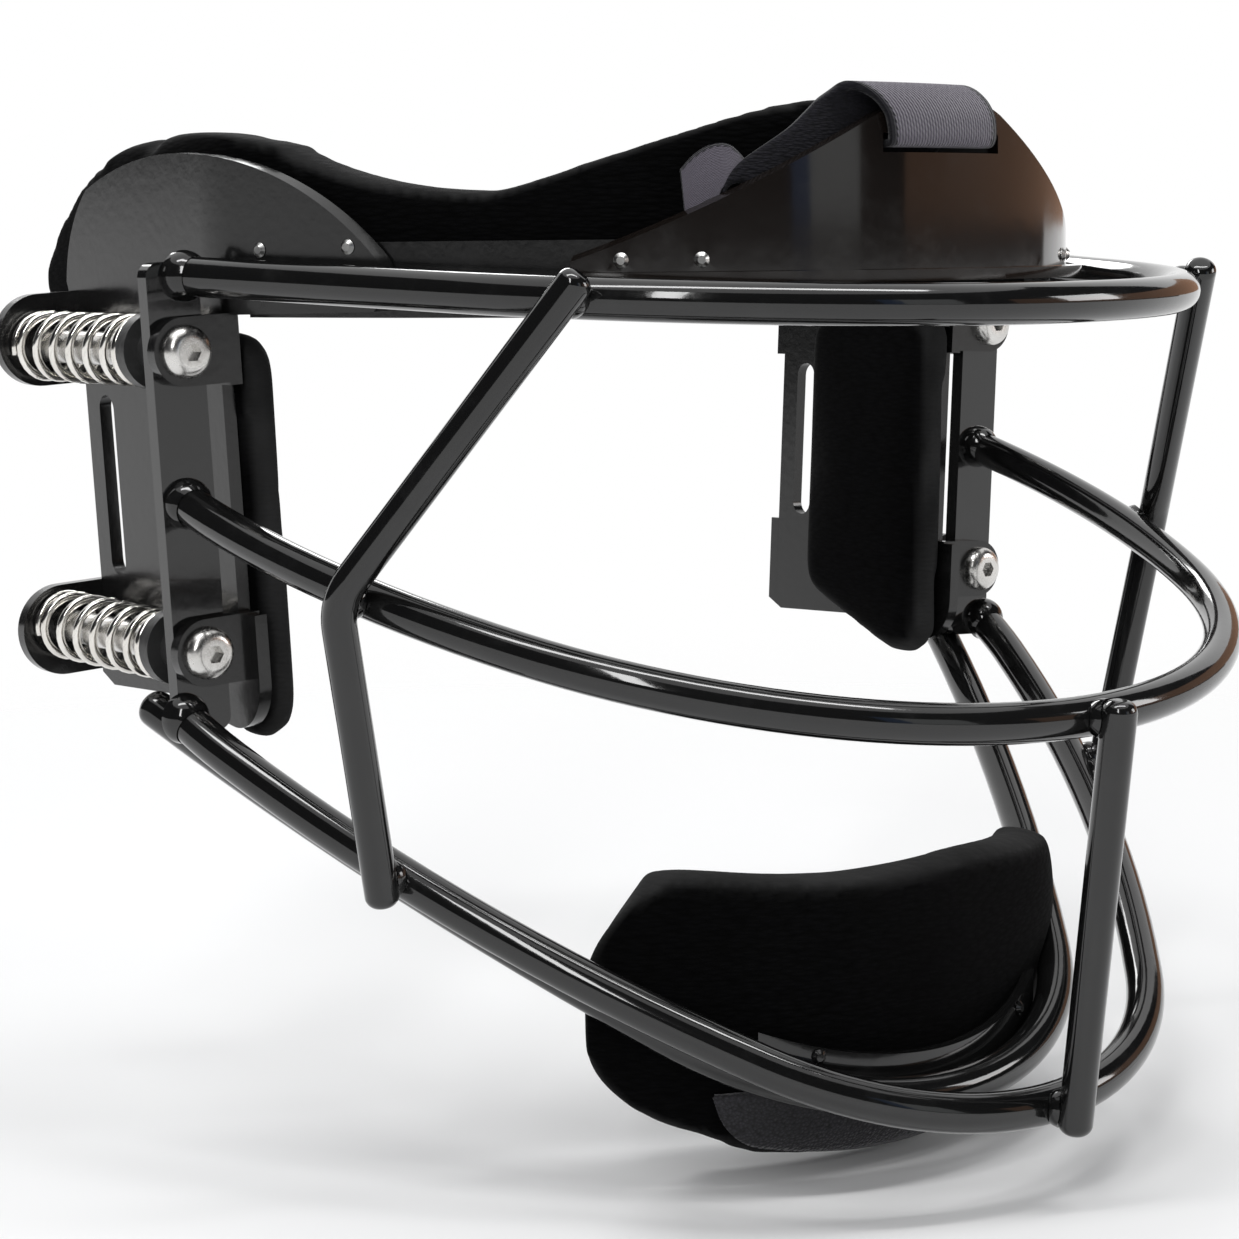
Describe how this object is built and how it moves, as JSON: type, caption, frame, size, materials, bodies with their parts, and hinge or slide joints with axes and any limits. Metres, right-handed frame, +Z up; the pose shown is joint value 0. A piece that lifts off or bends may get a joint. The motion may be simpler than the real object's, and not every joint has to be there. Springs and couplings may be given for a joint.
{
  "type": "softball face guard",
  "caption": "Softball fielder's face guard: a bar cage on sprung guide screws, with a padded forehead band, temple pads, chin pad and elastic head strap.",
  "frame": {"origin": "on the mid-plane, level with the front faces of the two cage side strips and halfway up between the upper and lower guide screws, at the middle of the wearer's face opening", "axes": "+Z up, -Y out of the front of the cage, +X to the wearer's left, seen from the front on the right"},
  "size_m": [0.2176, 0.2072, 0.1911],
  "materials": {
    "cage_coat": "gloss black powder coat",
    "plate_coat": "satin black powder coat on the harness plates and link bands",
    "shell_plastic": "gloss black moulded shell",
    "seat_plastic": "dark grey moulded spring seats",
    "spring_steel": "bright plated spring wire",
    "sleeve_steel": "bright drawn steel sleeve",
    "screw_steel": "plated steel button head screws",
    "nut_steel": "plated steel lock nuts",
    "rivet_aluminium": "plain aluminium rivet heads",
    "pad_cloth": "black brushed cloth over foam",
    "flap_cloth": "dark grey hook and loop cloth",
    "strap_elastic": "grey ribbed elastic webbing"
  },
  "bodies": {
    "harness": {"band_rivets": "rivet_aluminium", "forehead_pad": "pad_cloth", "forehead_shell": "shell_plastic", "guide_sleeves": "sleeve_steel", "head_strap": "strap_elastic", "lock_nuts": "nut_steel", "suspension_screws": "screw_steel", "left_link_band": "plate_coat", "left_lower_spring": "spring_steel", "left_side_plate": "plate_coat", "left_temple_pad": "pad_cloth", "left_upper_spring": "spring_steel", "right_link_band": "plate_coat", "right_lower_spring": "spring_steel", "right_side_plate": "plate_coat", "right_temple_pad": "pad_cloth", "right_upper_spring": "spring_steel"},
    "cage": {"top_bar": "cage_coat", "middle_bar": "cage_coat", "lower_outer_bar": "cage_coat", "chin_bar": "cage_coat", "left_diagonal_bar": "cage_coat", "right_diagonal_bar": "cage_coat", "centre_bar": "cage_coat", "cage_welds": "cage_coat", "left_side_strip": "cage_coat", "right_side_strip": "cage_coat", "spring_seats": "seat_plastic", "chin_plate": "cage_coat", "chin_rivets": "cage_coat", "chin_pad": "pad_cloth", "chin_pad_flap": "flap_cloth"}
  },
  "joints": [
    {"name": "cage_slide", "type": "slide", "parent": "harness", "child": "cage", "axis": [0, 1, 0], "range_m": [0, 0.006], "stiffness_N_per_m": 28000, "deforming": ["left_lower_spring", "left_upper_spring", "right_lower_spring", "right_upper_spring"]}
  ]
}
